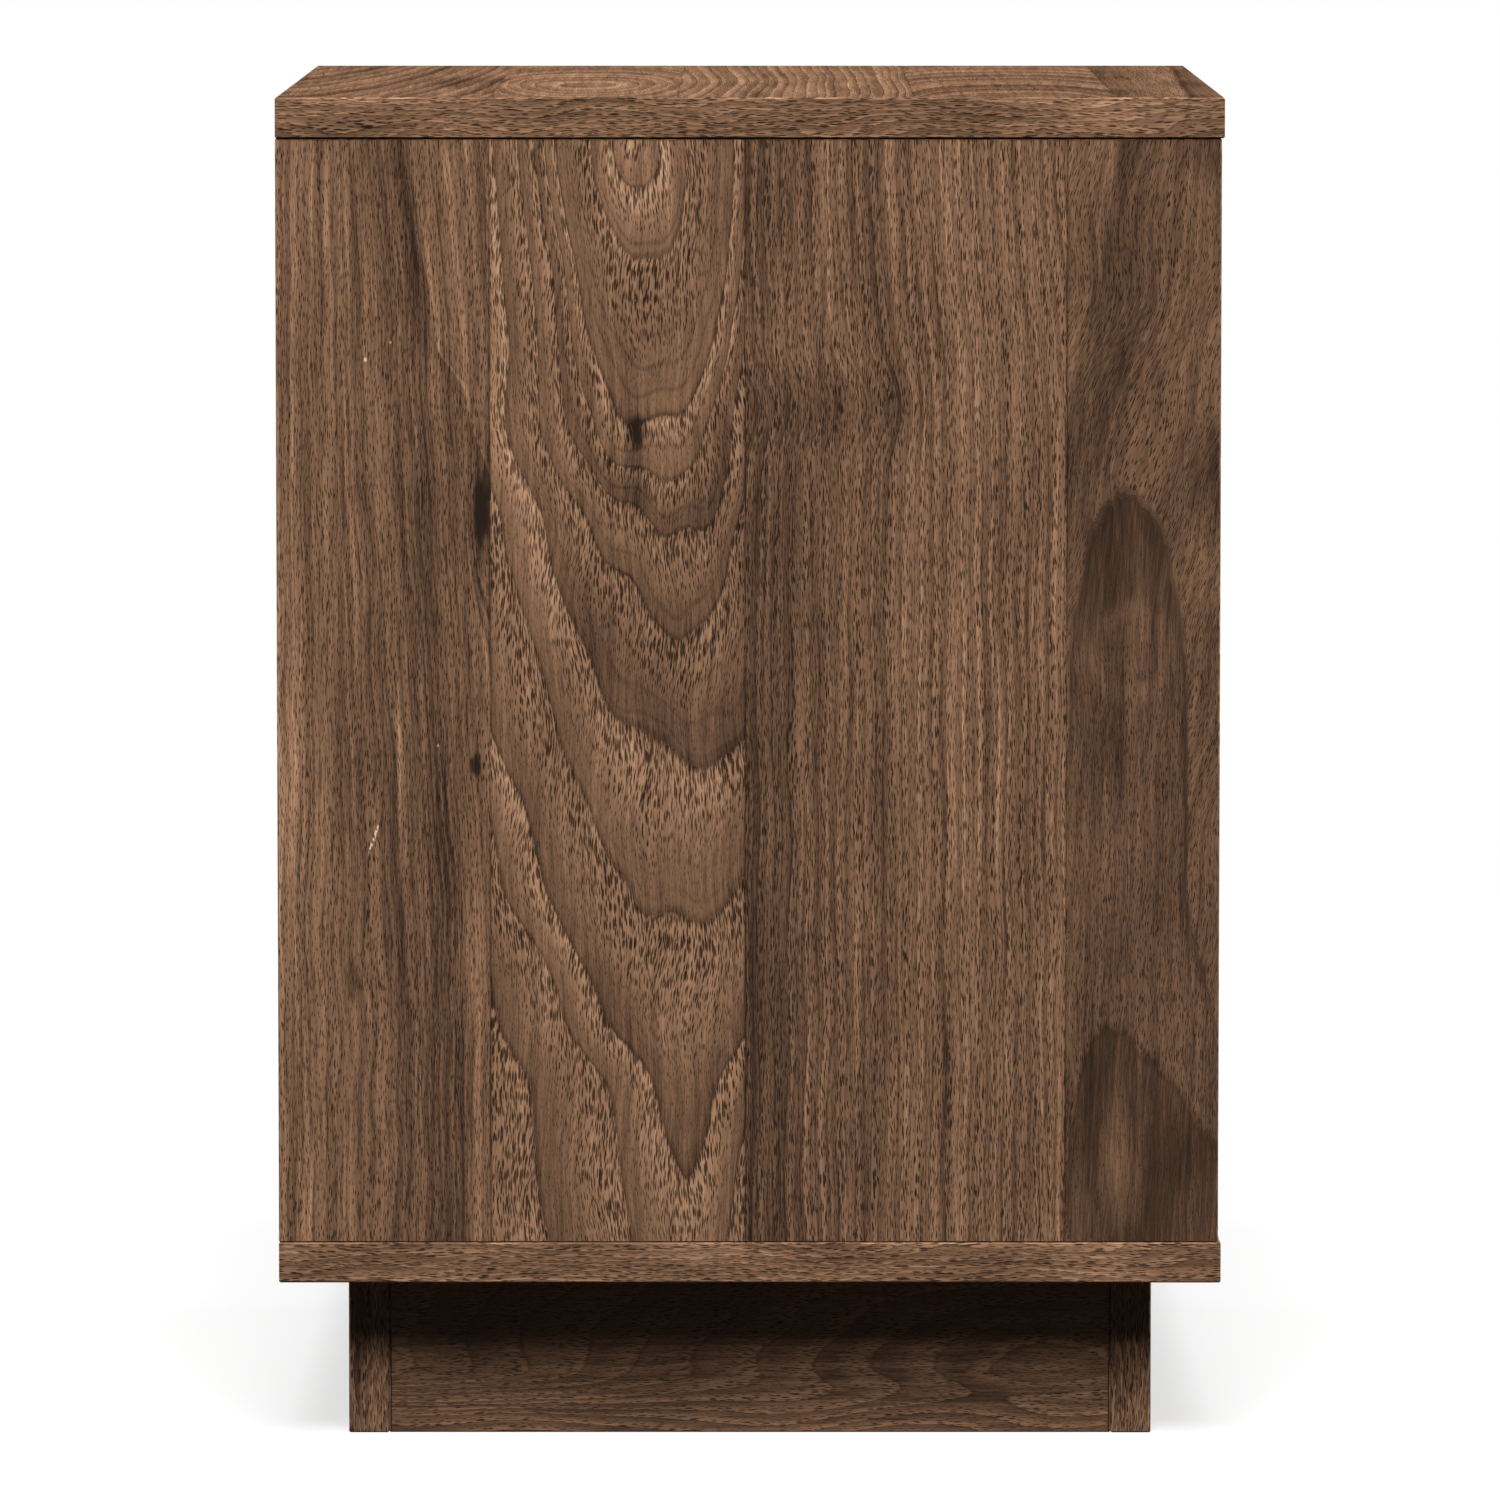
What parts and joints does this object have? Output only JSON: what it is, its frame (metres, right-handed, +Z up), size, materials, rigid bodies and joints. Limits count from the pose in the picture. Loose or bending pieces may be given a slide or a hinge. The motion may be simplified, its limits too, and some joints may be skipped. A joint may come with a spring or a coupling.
{
  "type": "bedside cabinet",
  "caption": "Low box-shaped bedside cabinet in dark walnut board on a set-back plinth, with inset drawers that have finger pulls and run on roller runners.",
  "frame": {"origin": "centre of the footprint on the floor, under the plinth", "axes": "+Z up; the drawers face -Y; +X to the right of a viewer who faces the drawers"},
  "size_m": [0.4, 0.35, 0.5],
  "materials": {
    "walnut_board": "satin walnut foil",
    "back_board": "matt printed hardboard",
    "dowel_beech": "raw fluted beech",
    "cam_alloy": "die-cast zinc alloy",
    "fitting_steel": "zinc plated",
    "block_plastic": "moulded brown plastic",
    "box_board": "satin white melamine",
    "box_bottom_board": "white lacquered hardboard",
    "runner_steel": "white powder coat",
    "roller_nylon": "white nylon"
  },
  "bodies": {
    "cabinet": {"top_panel": "walnut_board", "bottom_panel": "walnut_board", "left_side": "walnut_board", "right_side": "walnut_board", "plinth_front": "walnut_board", "plinth_back": "walnut_board", "plinth_left": "walnut_board", "plinth_right": "walnut_board", "back_panel": "back_board", "carcass_dowels": "dowel_beech", "plinth_dowels": "dowel_beech", "carcass_cam_locks": "cam_alloy", "carcass_cam_bolts": "fitting_steel", "corner_block_screws": "fitting_steel", "track_screws": "fitting_steel", "track_rivets": "fitting_steel", "plinth_corner_blocks": "block_plastic", "lower_left_track": "runner_steel", "lower_right_track": "runner_steel", "upper_left_track": "runner_steel", "upper_right_track": "runner_steel"},
    "lower_drawer": {"lower_drawer_front": "walnut_board", "lower_left_drawer_side": "box_board", "lower_right_drawer_side": "box_board", "lower_drawer_back": "box_board", "lower_drawer_bottom": "box_bottom_board", "lower_drawer_cam_locks": "cam_alloy", "lower_drawer_cam_bolts": "fitting_steel", "lower_drawer_back_screws": "fitting_steel", "lower_left_rail": "runner_steel", "lower_right_rail": "runner_steel", "lower_rail_screws": "fitting_steel", "lower_rail_rivets": "fitting_steel"},
    "upper_drawer": {"upper_drawer_front": "walnut_board", "upper_left_drawer_side": "box_board", "upper_right_drawer_side": "box_board", "upper_drawer_back": "box_board", "upper_drawer_bottom": "box_bottom_board", "upper_drawer_cam_locks": "cam_alloy", "upper_drawer_cam_bolts": "fitting_steel", "upper_drawer_back_screws": "fitting_steel", "upper_left_rail": "runner_steel", "upper_right_rail": "runner_steel", "upper_rail_screws": "fitting_steel", "upper_rail_rivets": "fitting_steel"},
    "lower_left_front_roller": {"lower_left_front_roller": "roller_nylon"},
    "lower_left_rear_roller": {"lower_left_rear_roller": "roller_nylon"},
    "lower_right_front_roller": {"lower_right_front_roller": "roller_nylon"},
    "lower_right_rear_roller": {"lower_right_rear_roller": "roller_nylon"},
    "upper_left_front_roller": {"upper_left_front_roller": "roller_nylon"},
    "upper_left_rear_roller": {"upper_left_rear_roller": "roller_nylon"},
    "upper_right_front_roller": {"upper_right_front_roller": "roller_nylon"},
    "upper_right_rear_roller": {"upper_right_rear_roller": "roller_nylon"}
  },
  "joints": [
    {"name": "lower_drawer_slide", "type": "slide", "parent": "cabinet", "child": "lower_drawer", "axis": [0, -1, 0], "range_m": [0, 0.22]},
    {"name": "lower_left_front_roller_spin", "type": "hinge", "parent": "cabinet", "child": "lower_left_front_roller", "pos_m": [-0.1789, -0.144, 0.1208], "axis": [1, 0, 0], "continuous": true},
    {"name": "lower_left_rear_roller_spin", "type": "hinge", "parent": "lower_drawer", "child": "lower_left_rear_roller", "pos_m": [-0.1789, 0.128, 0.1208], "axis": [1, 0, 0], "continuous": true},
    {"name": "lower_right_front_roller_spin", "type": "hinge", "parent": "cabinet", "child": "lower_right_front_roller", "pos_m": [0.1789, -0.144, 0.1208], "axis": [1, 0, 0], "continuous": true},
    {"name": "lower_right_rear_roller_spin", "type": "hinge", "parent": "lower_drawer", "child": "lower_right_rear_roller", "pos_m": [0.1789, 0.128, 0.1208], "axis": [1, 0, 0], "continuous": true},
    {"name": "upper_drawer_slide", "type": "slide", "parent": "cabinet", "child": "upper_drawer", "axis": [0, -1, 0], "range_m": [0, 0.22]},
    {"name": "upper_left_front_roller_spin", "type": "hinge", "parent": "cabinet", "child": "upper_left_front_roller", "pos_m": [-0.1789, -0.144, 0.32455], "axis": [1, 0, 0], "continuous": true},
    {"name": "upper_left_rear_roller_spin", "type": "hinge", "parent": "upper_drawer", "child": "upper_left_rear_roller", "pos_m": [-0.1789, 0.128, 0.32455], "axis": [1, 0, 0], "continuous": true},
    {"name": "upper_right_front_roller_spin", "type": "hinge", "parent": "cabinet", "child": "upper_right_front_roller", "pos_m": [0.1789, -0.144, 0.32455], "axis": [1, 0, 0], "continuous": true},
    {"name": "upper_right_rear_roller_spin", "type": "hinge", "parent": "upper_drawer", "child": "upper_right_rear_roller", "pos_m": [0.1789, 0.128, 0.32455], "axis": [1, 0, 0], "continuous": true}
  ],
  "couplings": [
    {"joint": "lower_left_front_roller_spin", "follows": "lower_drawer_slide", "rad_per_m": 95.238},
    {"joint": "lower_left_rear_roller_spin", "follows": "lower_drawer_slide", "rad_per_m": 95.238},
    {"joint": "lower_right_front_roller_spin", "follows": "lower_drawer_slide", "rad_per_m": 95.238},
    {"joint": "lower_right_rear_roller_spin", "follows": "lower_drawer_slide", "rad_per_m": 95.238},
    {"joint": "upper_left_front_roller_spin", "follows": "upper_drawer_slide", "rad_per_m": 95.238},
    {"joint": "upper_left_rear_roller_spin", "follows": "upper_drawer_slide", "rad_per_m": 95.238},
    {"joint": "upper_right_front_roller_spin", "follows": "upper_drawer_slide", "rad_per_m": 95.238},
    {"joint": "upper_right_rear_roller_spin", "follows": "upper_drawer_slide", "rad_per_m": 95.238}
  ]
}
